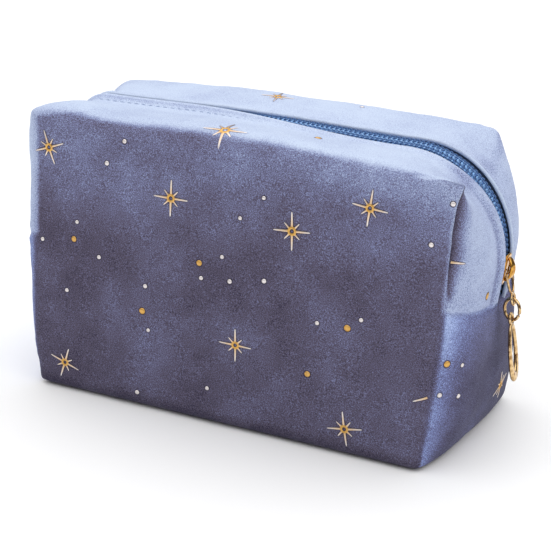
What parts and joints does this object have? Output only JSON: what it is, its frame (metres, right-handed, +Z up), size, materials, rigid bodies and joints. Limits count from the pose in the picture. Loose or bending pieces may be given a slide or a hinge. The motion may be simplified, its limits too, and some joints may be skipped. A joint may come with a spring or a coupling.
{
  "type": "zippered pouch",
  "caption": "Soft boxy velvet pouch with a coil zipper over the top and down both ends, closed by a slider with a hanging hoop pull.",
  "frame": {"origin": "middle of the flat base, on the surface it stands on", "axes": "+X along the length towards the end with the slider, -Y the front panel, +Z up"},
  "size_m": [0.1856, 0.083, 0.1095],
  "materials": {
    "velvet": "brushed pile",
    "foam": "matte",
    "lining": "plain weave",
    "zip_tape": "herringbone weave",
    "coil": "extruded nylon",
    "binding": "folded strip",
    "slider_metal": "plated",
    "pull_metal": "plated"
  },
  "bodies": {
    "shell": {"outer_velvet": "velvet", "foam_interlining": "foam", "lining": "lining", "front_zip_tape": "zip_tape", "back_zip_tape": "zip_tape", "front_coil": "coil", "back_coil": "coil", "right_end_binding": "binding", "left_end_binding": "binding", "front_right_binding": "binding", "front_left_binding": "binding", "back_right_binding": "binding", "back_left_binding": "binding"},
    "slider": {"slider_body": "slider_metal", "slider_crown": "slider_metal"},
    "link": {"pull_link": "pull_metal"},
    "ring": {"jump_ring": "pull_metal"},
    "hoop": {"hoop_pull": "pull_metal"}
  },
  "joints": [
    {"name": "slider_run", "type": "hinge", "parent": "shell", "child": "slider", "pos_m": [0.0506, 0, 0.0715], "axis": [0, -1, 0], "range_deg": [0, 95]},
    {"name": "link_hinge", "type": "hinge", "parent": "slider", "child": "link", "pos_m": [0.09053, 0, 0.06675], "axis": [0, -1, 0], "range_deg": [0, 110]},
    {"name": "ring_swing", "type": "hinge", "parent": "link", "child": "ring", "pos_m": [0.09317, 0, 0.05689], "axis": [1, 0, 0], "range_deg": [-30, 30]},
    {"name": "hoop_swing", "type": "hinge", "parent": "ring", "child": "hoop", "pos_m": [0.09317, 0, 0.05009], "axis": [1, 0, 0], "range_deg": [-30, 30]}
  ]
}
